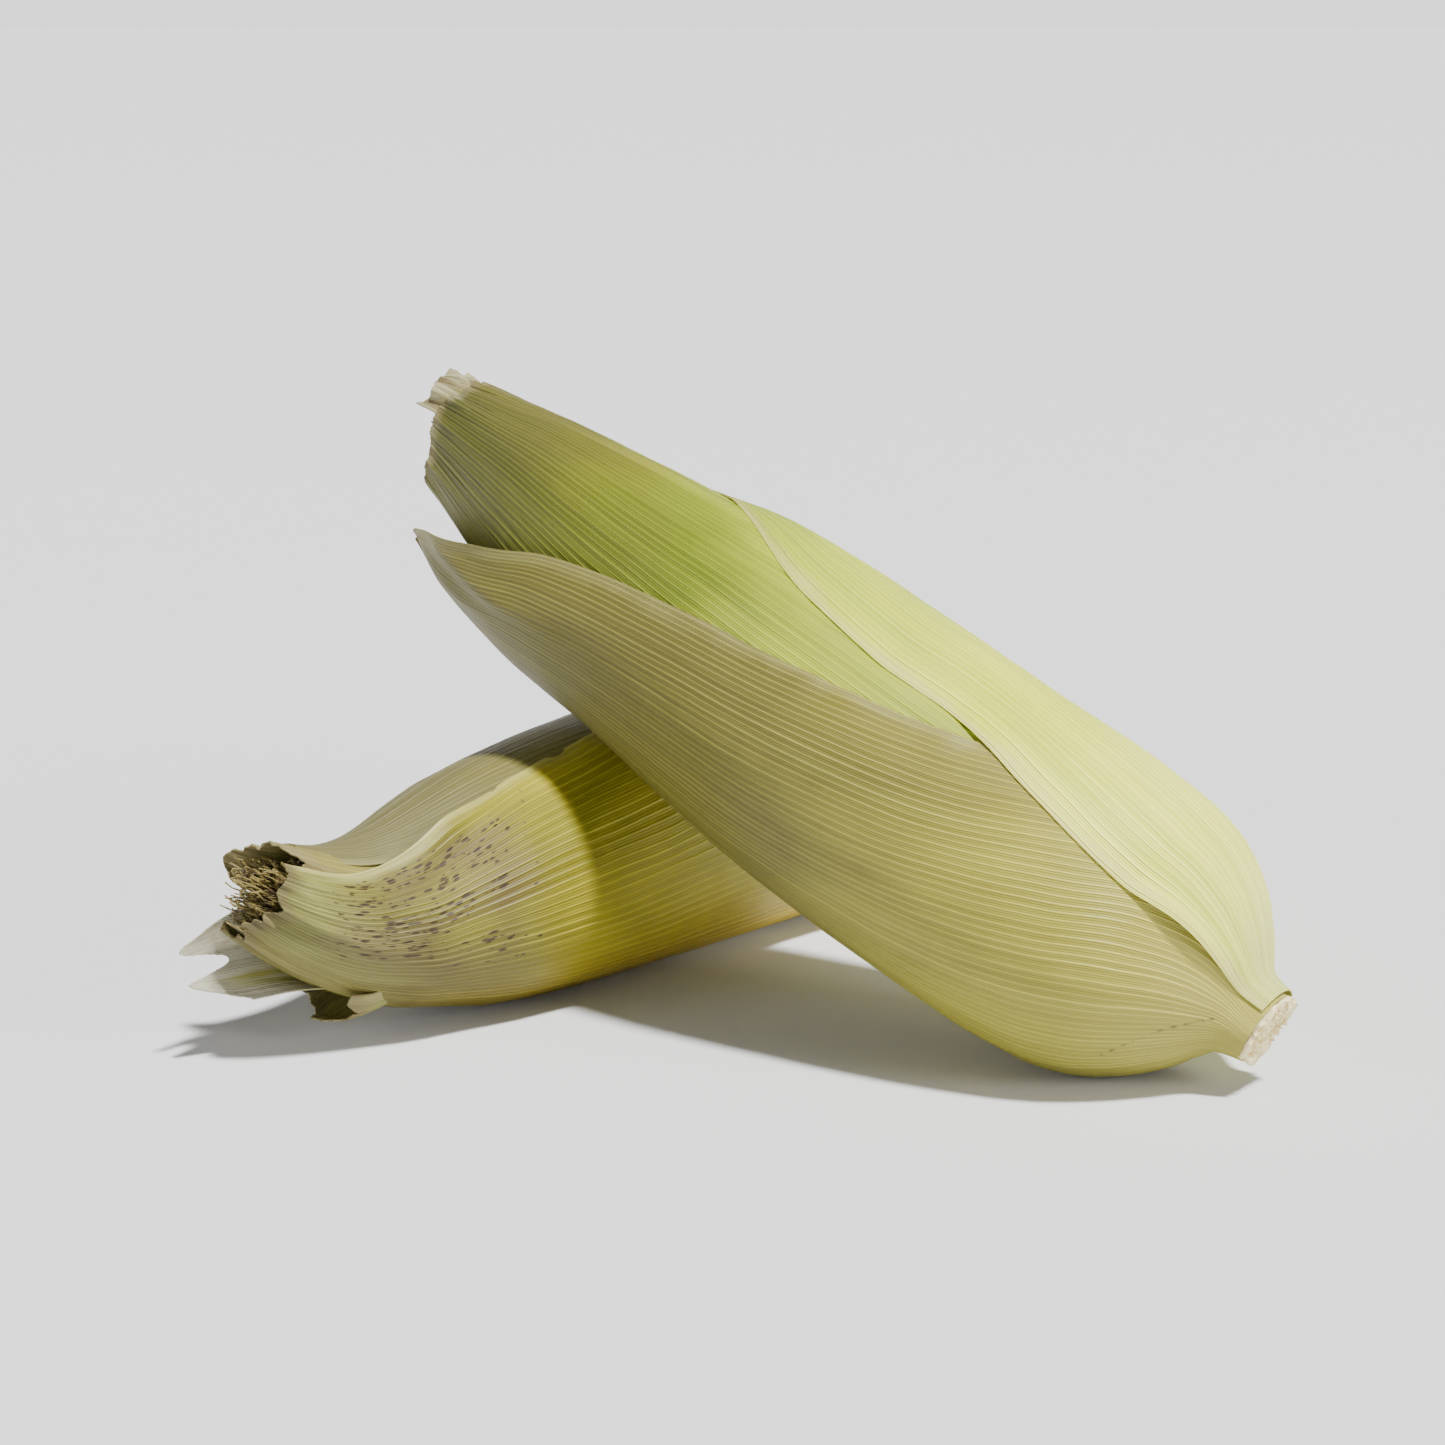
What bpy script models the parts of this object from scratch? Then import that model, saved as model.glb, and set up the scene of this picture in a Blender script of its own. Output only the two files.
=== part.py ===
# Two ears of corn in their husks. The near ear leans across the far ear, and both rest on a table.
# Each ear is a cob on a cut shank, wrapped in separate husk leaves, with dried silk in its mouth.
# Units are metres. Lengths in the tables below are millimetres, and are multiplied by MM where they are used.
#
# Each ear is drawn in a frame of its own: +X runs from the cut shank to the silk end, and an angle round the
# ear is 0 on its upper side and 90 on the side that faces the front. Every piece is parented to the ear's empty.

import math

import bmesh
import bpy
import numpy as np
from mathutils import Vector

MM = 0.001

# ---- driving dimensions ----

LEAF_THICKNESS = 0.5 * MM
PLY = 1.5  # from one leaf's outer side to the next leaf's, inwards
HALF_TURN = 180.0

# How each ear lies: where the middle of the shank's cut is, how its length rises from the table and its heading.
# The outline is the outermost radius at each distance from the shank's cut, and the bow is how far the ear's
# middle swings to the front.
NEAR_EAR = {
    "name": "near",
    "at": (102.6, -92.0, 12.85),
    "rise": 27.05,
    "heading": 144.2,
    "length": 234.0,
    "bow": 11.9,
    "outline": [
        (0, 7.9), (6, 9.2), (12, 16.5), (18, 22.9), (27, 28.7), (36, 31.2), (54, 32.6), (80, 32.8), (108, 32.5),
        (126, 31.6), (144, 29.6), (162, 26.9), (180, 23.7), (198, 20.1), (216, 16.9), (230, 15.7), (242, 15.4),
    ],
}
FAR_EAR = {
    "name": "far",
    "at": (60.0, 101.4, 35.2),
    "rise": -2.94,
    "heading": 228.94,
    "length": 232.0,
    "bow": 0.0,
    "outline": [
        (0, 7.6), (6, 9.2), (12, 15.5), (20, 23.6), (32, 29.6), (50, 32.4), (73, 32.2), (100, 30.9), (126, 29.7),
        (153, 28.2), (179, 25.4), (203, 19.6), (217, 17.0), (230, 16.2), (242, 16.6),
    ],
}
# Where the leaves' cross rows are, so that leaves lying on one another keep their distance.
ROWS = (5, 9, 14, 20, 28, 40, 58, 80, 105, 130, 155, 174, 190, 203, 215, 226, 237)
CELLS_ACROSS = 14

# A leaf: how many plies it lies below the outline, which way its edges lap (0 not at all), how many plies are
# between it and the table, its middle and its half width in degrees at each distance along the ear, and how far
# it stands off, in millimetres, at each distance.
NEAR_LEAVES = {
    "near_husk_over": {
        "plies": -1, "lap": 0, "under": 0, "finish": "husk_pale",
        "course": [(5, -64, 109), (19, -58, 103), (32, -54, 101), (53, -55, 95), (77, -56, 86), (99, -51, 80),
                   (122, -50, 72), (136, -53, 63), (149, -58, 51), (162, -62, 33), (176, -66, 16), (188, -68, 8)],
        "off": [(5, 0.0), (188, 0.0)],
    },
    "near_husk_front": {
        "plies": 0, "lap": 0, "under": 0, "finish": "husk_dull",
        "course": [(9, 84, 128), (24, 92, 112), (40, 102, 97), (75, 116, 80), (110, 125, 75), (131, 129, 73),
                   (152, 133, 71), (171, 137, 66), (184, 142, 56), (197, 147, 43), (207, 149, 28), (213, 150, 18),
                   (219, 150, 8)],
        "off": [(9, 0.0), (130, 0.0), (150, 1.2), (165, 3.8), (180, 6.6), (197, 8.6), (219, 9.6)],
    },
    "near_husk_green": {
        "plies": 1, "lap": -1, "under": 1, "finish": "husk_green",
        "course": [(14, 35, 108), (60, 35, 108), (130, 35, 108), (190, 35, 108), (212, 38, 100), (226, 40, 84)],
        "off": [(14, 0.0), (190, 0.0), (226, 1.0)],
    },
    "near_husk_back": {
        "plies": 1, "lap": -1, "under": 1, "finish": "husk_dull",
        "course": [(14, 215, 108), (60, 215, 108), (130, 215, 108), (190, 215, 106), (208, 215, 84), (220, 214, 50)],
        "off": [(14, 0.0), (190, 0.0), (220, 0.8)],
    },
    "near_husk_inner_a": {
        "plies": 3.2, "lap": -1, "under": 3.2, "finish": "husk_pale",
        "course": [(20, 100, 106), (60, 100, 106), (130, 100, 106), (200, 100, 104), (222, 100, 86), (234, 104, 56)],
        "off": [(20, 0.0), (234, 0.0)],
    },
    "near_husk_inner_b": {
        "plies": 3.2, "lap": -1, "under": 3.2, "finish": "husk_pale",
        "course": [(20, 280, 106), (60, 280, 106), (130, 280, 106), (200, 280, 104), (222, 286, 88), (236, 296, 60)],
        "off": [(20, 0.0), (222, 0.0), (236, 0.6)],
    },
}
FAR_LEAVES = {
    "far_husk_front": {
        "plies": 0, "lap": 0, "under": 0, "finish": "husk_veined",
        "course": [(5, 92, 118), (34, 94, 106), (74, 98, 104), (114, 106, 101), (154, 112, 96), (176, 114, 93),
                   (195, 117, 88), (209, 119, 85), (218, 120, 82), (226, 122, 70)],
        "off": [(5, 0.0), (226, 0.0)],
    },
    "far_husk_top": {
        "plies": 1, "lap": 0, "under": 1, "finish": "husk_dull",
        "course": [(9, -62, 122), (34, -60, 112), (74, -60, 108), (134, -52, 100), (174, -48, 92), (198, -46, 84),
                   (208, -46, 70), (216, -48, 50)],
        "off": [(9, 0.0), (216, 0.0)],
    },
    "far_husk_under": {
        "plies": 2, "lap": -1, "under": 2, "finish": "husk_pale",
        "course": [(14, 190, 104), (54, 190, 104), (124, 190, 104), (189, 190, 100), (214, 192, 80), (224, 196, 52)],
        "off": [(14, 0.0), (224, 0.0)],
    },
    "far_husk_upper": {
        "plies": 2, "lap": -1, "under": 2, "finish": "husk_pale",
        "course": [(14, 10, 104), (54, 10, 104), (124, 10, 104), (189, 10, 98), (210, 8, 82), (224, 0, 62),
                   (233, -6, 34)],
        "off": [(14, 0.0), (216, 0.0), (225, 1.8), (233, 4.6)],
    },
    "far_husk_inner_a": {
        "plies": 4.2, "lap": -1, "under": 4.2, "finish": "husk_pale",
        "course": [(20, 60, 104), (54, 60, 104), (124, 60, 104), (199, 60, 100), (220, 60, 88), (232, 58, 66)],
        "off": [(20, 0.0), (225, 0.0), (232, 2.0)],
    },
    "far_husk_inner_b": {
        "plies": 4.2, "lap": -1, "under": 4.2, "finish": "husk_pale",
        "course": [(20, 240, 104), (54, 240, 104), (124, 240, 104), (199, 240, 100), (224, 240, 88), (240, 236, 62)],
        "off": [(20, 0.0), (225, 0.0), (232, 2.0), (240, 4.0)],
    },
}

# Turned pieces: (distance along the ear, radius). The shank is cut square at 0.
SHANKS = {
    "near": [(0, 7.6), (4, 7.2), (10, 7.4), (17.5, 12.5)],
    "far": [(0, 7.3), (4, 7.0), (10, 7.2), (17.5, 11.5)],
}
COBS = {
    "near": [(18.2, 12.5), (22, 14.8), (30, 19.2), (45, 22.8), (80, 24.2), (120, 23.2), (150, 19.8), (180, 14.8),
             (200, 9.6), (207, 4.5)],
    "far": [(18.2, 11.5), (22, 13.2), (30, 17.2), (45, 21.0), (75, 22.0), (120, 20.4), (154, 18.0), (180, 13.8),
            (196, 8.6), (203, 4.5)],
}
SILKS = {
    "near": [(210, 3.0), (216, 5.4), (226, 6.9), (234, 7.0), (240, 3.6)],
    "far": [(206, 3.0), (212, 5.2), (224, 6.0), (232, 7.0), (238, 6.4), (242, 3.4)],
}

# Colour, roughness and metallic value of each finish.
FINISHES = {
    "husk_green": ((0.42, 0.48, 0.09), 0.50),
    "husk_dull": ((0.44, 0.41, 0.18), 0.55),
    "husk_pale": ((0.68, 0.66, 0.36), 0.50),
    "husk_veined": ((0.52, 0.48, 0.20), 0.55),
    "shank": ((0.62, 0.52, 0.38), 0.80),
    "kernels": ((0.85, 0.72, 0.30), 0.35),
    "silk": ((0.22, 0.14, 0.05), 0.75),
}


# ---- helpers ----

def smooth_between(points, x):
    """The value at x of a smooth curve through (position, value) points that never overshoots them."""
    xs = np.array([p[0] for p in points], float)
    ys = np.array([p[1] for p in points], float)
    slopes = np.diff(ys) / np.diff(xs)
    tangents = np.zeros(len(xs))
    turning = slopes[:-1] * slopes[1:] <= 0
    tangents[1:-1] = np.where(turning, 0.0, 2 * slopes[:-1] * slopes[1:] / (slopes[:-1] + slopes[1:] + 1e-12))
    tangents[0], tangents[-1] = slopes[0], slopes[-1]
    x = min(max(x, xs[0]), xs[-1])
    i = min(max(int(np.searchsorted(xs, x)) - 1, 0), len(xs) - 2)
    width = xs[i + 1] - xs[i]
    t = (x - xs[i]) / width
    rise = (3 - 2 * t) * t * t
    return (
        ys[i] + (ys[i + 1] - ys[i]) * rise
        + width * (tangents[i] * t * (1 - t) ** 2 - tangents[i + 1] * t * t * (1 - t))
    )


def on_ear(ear, along, angle, radius):
    """A point of the ear's own frame, from millimetres along it, degrees round it and millimetres out."""
    share = along / ear["length"]
    bow = 4 * ear["bow"] * share * (1 - share)
    a = math.radians(angle)
    return Vector((along, bow + radius * math.sin(a), radius * math.cos(a))) * MM


def in_outline(ear, along, angle, depth):
    """A point that lies the depth inside the ear's outline, measured square to the outline."""
    slope = (smooth_between(ear["outline"], along + 1) - smooth_between(ear["outline"], along - 1)) / 2
    square = 1 / math.hypot(1, slope)
    radius = smooth_between(ear["outline"], along) - depth * square
    return on_ear(ear, along + depth * slope * square, angle, radius)


def settle(ear, point, above):
    """Raises a point straight up to the height above the table that it is pressed to there, if it is lower."""
    rise = math.radians(ear["rise"])
    height = ear["at"][2] * MM + point.x * math.sin(rise) + point.z * math.cos(rise)
    short = max(0.0, above - height)
    return point + Vector((math.sin(rise), 0.0, math.cos(rise))) * short


def finish(name):
    if name in bpy.data.materials:
        return bpy.data.materials[name]
    colour, roughness = FINISHES[name]
    material = bpy.data.materials.new(name)
    material.use_nodes = True
    shader = material.node_tree.nodes["Principled BSDF"]
    shader.inputs["Base Color"].default_value = (*colour, 1.0)
    shader.inputs["Roughness"].default_value = roughness
    shader.inputs["Metallic"].default_value = 0.0
    return material


def node_of(name, faces, finish_name, parent):
    """A node from a bmesh, in the frame of its ear."""
    mesh = bpy.data.meshes.new(name)
    faces.to_mesh(mesh)
    faces.free()
    mesh.shade_smooth()
    mesh.materials.append(finish(finish_name))
    node = bpy.data.objects.new(name, mesh)
    bpy.context.scene.collection.objects.link(node)
    node.parent = parent
    return node


def ear_frame(ear):
    empty = bpy.data.objects.new(ear["name"] + "_ear_frame", None)
    bpy.context.scene.collection.objects.link(empty)
    empty.location = Vector(ear["at"]) * MM
    empty.rotation_euler = (0.0, -math.radians(ear["rise"]), math.radians(ear["heading"]))
    return empty


# ---- pieces ----

def husk_leaf(ear, parent, name, leaf):
    """A sheet laid round the ear and given its thickness inwards. Where it meets the table it is pressed flat."""
    centres = [(s, c) for s, c, _ in leaf["course"]]
    halves = [(s, h) for s, _, h in leaf["course"]]
    first, last = leaf["course"][0][0], leaf["course"][-1][0]
    rows = []
    sheet = bmesh.new()
    for s in [first, *(row for row in ROWS if first + 2 < row < last - 4), last]:
        centre = smooth_between(centres, s)
        half = smooth_between(halves, s)
        row = []
        for i in range(CELLS_ACROSS + 1):
            turn = half * (2 * i / CELLS_ACROSS - 1)
            lapped = abs(leaf["lap"]) * 0.6 + leaf["lap"] * turn / HALF_TURN
            depth = PLY * (leaf["plies"] + lapped) - smooth_between(leaf["off"], s)
            point = in_outline(ear, s, centre + turn, depth)
            row.append(sheet.verts.new(settle(ear, point, PLY * (leaf["under"] + lapped) * MM)))
        rows.append(row)
    for lower, upper in zip(rows, rows[1:]):
        for i in range(CELLS_ACROSS):
            sheet.faces.new((lower[i], upper[i], upper[i + 1], lower[i + 1]))
    node = node_of(name, sheet, leaf["finish"], parent)
    thickness = node.modifiers.new("thickness", "SOLIDIFY")
    thickness.thickness = LEAF_THICKNESS
    thickness.offset = -1.0


def turned(ear, parent, name, profile, sides, rings, finish_name):
    """A closed body turned round the ear's middle line, with flat ends."""
    body = bmesh.new()
    first, last = profile[0][0], profile[-1][0]
    loops = []
    for j in range(rings + 1):
        s = first + (last - first) * j / rings
        radius = smooth_between(profile, s)
        loops.append([body.verts.new(on_ear(ear, s, 360.0 * i / sides, radius)) for i in range(sides)])
    for lower, upper in zip(loops, loops[1:]):
        for i in range(sides):
            k = (i + 1) % sides
            body.faces.new((lower[i], upper[i], upper[k], lower[k]))
    body.faces.new(loops[0])
    body.faces.new(loops[-1])
    bmesh.ops.recalc_face_normals(body, faces=body.faces)
    node_of(name, body, finish_name, parent).data.set_sharp_from_angle(angle=math.radians(50))


def build_ear(ear, leaves):
    name = ear["name"]
    frame = ear_frame(ear)
    turned(ear, frame, name + "_shank", SHANKS[name], 20, 6, "shank")
    turned(ear, frame, name + "_cob", COBS[name], 24, 14, "kernels")
    turned(ear, frame, name + "_silk", SILKS[name], 14, 6, "silk")
    for leaf_name, leaf in leaves.items():
        husk_leaf(ear, frame, leaf_name, leaf)


for old in list(bpy.data.objects):
    bpy.data.objects.remove(old)
build_ear(NEAR_EAR, NEAR_LEAVES)
build_ear(FAR_EAR, FAR_LEAVES)
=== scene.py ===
import math

import bpy
import numpy as np
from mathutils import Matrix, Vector


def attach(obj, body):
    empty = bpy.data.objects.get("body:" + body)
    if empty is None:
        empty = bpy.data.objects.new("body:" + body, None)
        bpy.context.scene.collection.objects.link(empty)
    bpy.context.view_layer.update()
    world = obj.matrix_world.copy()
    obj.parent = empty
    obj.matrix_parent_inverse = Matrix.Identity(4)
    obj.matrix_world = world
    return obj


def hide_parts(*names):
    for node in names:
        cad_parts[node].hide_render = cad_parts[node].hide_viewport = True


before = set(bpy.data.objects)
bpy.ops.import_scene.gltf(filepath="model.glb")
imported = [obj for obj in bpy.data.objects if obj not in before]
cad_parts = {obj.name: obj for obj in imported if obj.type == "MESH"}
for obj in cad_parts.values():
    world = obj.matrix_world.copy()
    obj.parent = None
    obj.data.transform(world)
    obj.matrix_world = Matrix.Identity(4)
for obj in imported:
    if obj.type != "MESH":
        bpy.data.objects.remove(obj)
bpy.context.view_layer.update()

mm = 0.001
ply = 0.8  # millimetres from one husk leaf to the next
halfTurn = 180.0

# Each ear runs from its cut shank, at 0, to the silk end. The outline is (distance along, radius) in
# millimetres, and an angle round the ear is 0 on its upper side and 90 towards the front.
nearEar = {
    "at": (102.6, -92.0, 12.85),
    "rise": 27.05,
    "heading": 144.2,
    "length": 234.0,
    "bow": 11.9,
    "neck": {"from": 198, "to": 234, "lift": -2.5, "side": 0.0, "pinch": 0.24, "pleats": 0.7},
    "outline": [(0, 7.9), (6, 9.2), (12, 16.5), (18, 22.9), (27, 28.7), (36, 31.2), (54, 32.6), (80, 32.8),
                (108, 32.5), (126, 31.6), (144, 29.6), (162, 26.9), (180, 23.7), (198, 20.1), (216, 16.9),
                (230, 15.7), (242, 15.4)],
}
farEar = {
    "at": (60.0, 101.4, 35.2),
    "rise": -2.94,
    "heading": 228.94,
    "length": 232.0,
    "bow": 0.0,
    "neck": {"from": 201, "to": 238, "lift": 15.0, "side": -5.0, "pinch": 0.30, "pleats": 0.6},
    "outline": [(0, 7.6), (6, 9.2), (12, 15.5), (20, 23.6), (32, 29.6), (50, 32.4), (73, 32.2), (100, 30.9),
                (126, 29.7), (153, 28.2), (179, 25.4), (203, 19.6), (217, 17.0), (230, 16.2), (242, 16.6)],
}
pleats = [(11, 0.8, 1.0), (17, 2.1, 0.7), (29, 0.0, 0.4)]  # folds round a neck, their start, share of depth
waveLength = 512  # random values in one wave


def curveThrough(points, x):
    # a smooth curve through (position, value) points that doesn't overshoot them
    xs, ys = np.array(points, float).T
    slopes = np.diff(ys) / np.diff(xs)
    tangents = np.concatenate([slopes[:1], np.zeros(len(xs) - 2), slopes[-1:]])
    product = slopes[:-1] * slopes[1:]
    tangents[1:-1] = np.where(product > 0, 2 * product / (slopes[:-1] + slopes[1:] + 1e-12), 0.0)
    x = np.clip(x, xs[0], xs[-1])
    i = np.clip(np.searchsorted(xs, x) - 1, 0, len(xs) - 2)
    width = xs[i + 1] - xs[i]
    t = (x - xs[i]) / width
    return (ys[i] + (ys[i + 1] - ys[i]) * (3 - 2 * t) * t * t
            + width * t * (1 - t) * (tangents[i] * (1 - t) - tangents[i + 1] * t))


def smoothStep(low, high, x):
    t = np.clip((x - low) / (high - low), 0, 1)
    return t * t * (3 - 2 * t)


def wave(seed, x):
    # smooth noise between -1 and 1 along x, one bump for each unit
    values = np.random.default_rng(seed).uniform(-1, 1, waveLength)
    i = np.floor(x).astype(int)
    t = x - i
    t = t * t * (3 - 2 * t)
    return values[i % waveLength] * (1 - t) + values[(i + 1) % waveLength] * t


def earTurn(ear):
    # its columns point along the ear, to its front side and to its upper side
    rise, heading = math.radians(ear["rise"]), math.radians(ear["heading"])
    level = np.array([math.cos(heading), math.sin(heading), 0.0])
    upright = np.array([0.0, 0.0, 1.0])
    alongAxis = math.cos(rise) * level + math.sin(rise) * upright
    upAxis = math.cos(rise) * upright - math.sin(rise) * level
    return np.stack([alongAxis, np.cross(upAxis, alongAxis), upAxis], 1)


def onEar(ear, along, angle, radius, follow=0.0):
    # world points, from millimetres along an ear, degrees round it and millimetres out; where follow is 1
    # they keep to the neck, which narrows, folds into pleats and bends
    way = along / ear["length"]
    bow = 4 * ear["bow"] * way * (1 - way)
    a = np.radians(angle)
    neck = ear["neck"]
    drawn = follow * np.clip((along - neck["from"]) / (neck["to"] - neck["from"]), 0, 1.15) ** 2
    pleat = sum(share * np.sin(count * a + start) for count, start, share in pleats)
    radius = radius * (1 - neck["pinch"] * drawn) + neck["pleats"] * pleat * drawn
    bow = bow + neck["side"] * drawn
    local = np.stack(np.broadcast_arrays(along, bow + radius * np.sin(a), radius * np.cos(a)), -1)
    world = local @ earTurn(ear).T + np.array(ear["at"])
    world[..., 2] += neck["lift"] * drawn
    return world * mm


def inOutline(ear, along, angle, depth, follow=0.0):
    slope = (curveThrough(ear["outline"], along + 1) - curveThrough(ear["outline"], along - 1)) / 2
    square = 1 / np.sqrt(1 + slope**2)
    radius = curveThrough(ear["outline"], along) - depth * square
    return onEar(ear, along + depth * slope * square, angle, radius, follow)


def addSockets(tree, way, sockets):
    for label, kind, *value in sockets:
        made = tree.interface.new_socket(label, in_out=way, socket_type="NodeSocket" + kind)
        if value:
            made.default_value = value[0]


def newTree(name, sockets):
    tree = bpy.data.node_groups.new(name, "GeometryNodeTree")
    addSockets(tree, "INPUT", [("Geometry", "Geometry"), *sockets, ("Material", "Material")])
    addSockets(tree, "OUTPUT", [("Geometry", "Geometry")])
    return tree


class Graph:
    # a node tree with short ways to add a node, do a sum and join sockets
    def __init__(self, tree):
        self.tree = tree
        self.start = tree.nodes.new("NodeGroupInput")
        self.given = self.start.outputs

    def add(self, kind, settings=None, **inputs):
        node = self.tree.nodes.new(kind)
        for key, value in (settings or {}).items():
            setattr(node, key, value)
        for key, value in inputs.items():
            self.put(node, key, value)
        return node

    def put(self, node, key, value):
        numbered = key[0] == "i" and key[1:].isdigit()
        socket = node.inputs[int(key[1:]) if numbered else key.replace("_", " ")]
        if isinstance(value, bpy.types.NodeSocket):
            self.tree.links.new(value, socket)
        else:
            socket.default_value = value

    def sum(self, operation, a, b=0.0, c=0.0):
        node = self.add("ShaderNodeMath", {"operation": operation}, i0=a, i1=b)
        if operation == "MULTIPLY_ADD":
            self.put(node, "i2", c)
        return node.outputs[0]

    def noise(self, settings=None, **inputs):
        return self.add("ShaderNodeTexNoise", settings, **inputs).outputs[0]

    def vector(self, operation, **inputs):
        return self.add("ShaderNodeVectorMath", {"operation": operation}, **inputs).outputs[0]

    def ramp(self, value, low, high, outLow=0.0, outHigh=1.0):
        node = self.add("ShaderNodeMapRange", {"interpolation_type": "SMOOTHSTEP"}, i0=value, i1=low, i2=high,
                        i3=outLow, i4=outHigh)
        return node.outputs[0]


def setInputs(modifier, values):
    for item in modifier.node_group.interface.items_tree:
        if item.in_out == "INPUT" and item.name in values:
            modifier[item.identifier] = values[item.name]


def finishTree(graph, geometry, materialSocket):
    realized = graph.add("GeometryNodeRealizeInstances", Geometry=geometry).outputs[0]
    painted = graph.add("GeometryNodeSetMaterial", Geometry=realized, Material=materialSocket).outputs[0]
    out = graph.tree.nodes.new("NodeGroupOutput")
    graph.tree.links.new(painted, out.inputs[0])


def named(graph, attribute, kind="FLOAT"):
    return graph.add("GeometryNodeInputNamedAttribute", {"data_type": kind}, Name=attribute).outputs[0]


ribs = {"drift": 18.0, "roundness": 0.7, "patches": 40.0, "low": 0.35, "fromBase": 0.06, "fromMargin": 2.5}


def reliefTree():
    # raises a leaf's ribs and gives it shallow dents, along its normals
    tree = newTree("leafRelief", [
        ("Ribs", "Float", 30.0), ("Rib Height", "Float", 0.0002), ("Wander", "Float", 0.3),
        ("Dent Height", "Float", 0.0003), ("Dent Size", "Float", 60.0), ("Seed", "Float", 0.0)])
    g = Graph(tree)
    across, along, margin = named(g, "across"), named(g, "along"), named(g, "margin")
    drift = g.noise({"noise_dimensions": "4D"}, Scale=ribs["drift"], Detail=1.0, W=g.given["Seed"])
    shifted = g.sum("MULTIPLY_ADD", g.sum("SUBTRACT", drift, 0.5), g.given["Wander"],
                    g.sum("MULTIPLY", across, g.given["Ribs"]))
    rib = g.sum("ABSOLUTE", g.sum("SINE", g.sum("MULTIPLY", shifted, math.pi)))
    rib = g.sum("MULTIPLY", g.sum("POWER", rib, ribs["roundness"]), g.given["Rib Height"])
    strength = g.noise({"noise_dimensions": "4D"}, Scale=ribs["patches"], Detail=0.0, W=g.given["Seed"])
    rib = g.sum("MULTIPLY", rib, g.ramp(strength, 0.3, 0.7, ribs["low"], 1.0))
    rib = g.sum("MULTIPLY", rib, g.ramp(margin, 0.0, ribs["fromMargin"]))
    rib = g.sum("MULTIPLY", rib, g.ramp(along, 0.0, ribs["fromBase"]))
    dent = g.noise(Scale=g.given["Dent Size"], Detail=2.0)
    dents = g.sum("MULTIPLY", g.sum("SUBTRACT", dent, 0.5), g.given["Dent Height"])
    height = g.sum("ADD", g.sum("MULTIPLY", dents, 2.0), rib)
    offset = g.vector("SCALE", i0=g.add("GeometryNodeInputNormal").outputs[0], Scale=height)
    moved = g.add("GeometryNodeSetPosition", Geometry=g.given["Geometry"], Offset=offset).outputs[0]
    finishTree(g, moved, g.given["Material"])
    return tree


strands = {"rootSpread": 0.35, "apart": (9.0, 9.0, 9.0), "curl": 140.0, "sides": 5}


def strandTree():
    # spreads copies of a guide curve into a tuft of wavy strands
    tree = newTree("silkTuft", [
        ("Strands", "Int", 120), ("Spread", "Float", 0.006), ("Waviness", "Float", 0.003),
        ("Thickness", "Float", 0.00016), ("Seed", "Int", 0)])
    g = Graph(tree)
    copies = g.add("GeometryNodeDuplicateElements", {"domain": "SPLINE"},
                   Geometry=g.given["Geometry"], Amount=g.given["Strands"])
    way = g.add("FunctionNodeRandomValue", {"data_type": "FLOAT_VECTOR"}, ID=copies.outputs[1],
                Seed=g.given["Seed"])
    way.inputs[0].default_value = (-1.0, -1.0, -1.0)
    way.inputs[1].default_value = (1.0, 1.0, 1.0)
    parameter = g.add("GeometryNodeSplineParameter").outputs["Factor"]
    opening = g.ramp(parameter, 0.0, 1.0, strands["rootSpread"], 1.0)
    spread = g.vector("SCALE", i0=way.outputs[0], Scale=g.sum("MULTIPLY", opening, g.given["Spread"]))
    place = g.add("GeometryNodeInputPosition").outputs[0]
    lookup = g.vector("MULTIPLY_ADD", i0=way.outputs[0], i1=strands["apart"], i2=place)
    curl = g.add("ShaderNodeTexNoise", {"noise_dimensions": "3D"}, Vector=lookup, Scale=strands["curl"],
                 Detail=1.0)
    centred = g.vector("SUBTRACT", i0=curl.outputs["Color"], i1=(0.5, 0.5, 0.5))
    waves = g.vector("SCALE", i0=centred, Scale=g.sum("MULTIPLY", parameter, g.given["Waviness"]))
    offset = g.vector("ADD", i0=spread, i1=waves)
    moved = g.add("GeometryNodeSetPosition", Geometry=copies.outputs[0], Offset=offset).outputs[0]
    ring = g.add("GeometryNodeCurvePrimitiveCircle", Resolution=strands["sides"],
                 Radius=g.given["Thickness"]).outputs[0]
    tube = g.add("GeometryNodeCurveToMesh", Curve=moved, Profile_Curve=ring)
    tube.inputs["Fill Caps"].default_value = True
    finishTree(g, tube.outputs[0], g.given["Material"])
    return tree


squareness = 0.72  # 1 leaves a kernel round, less squares its sides


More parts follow.
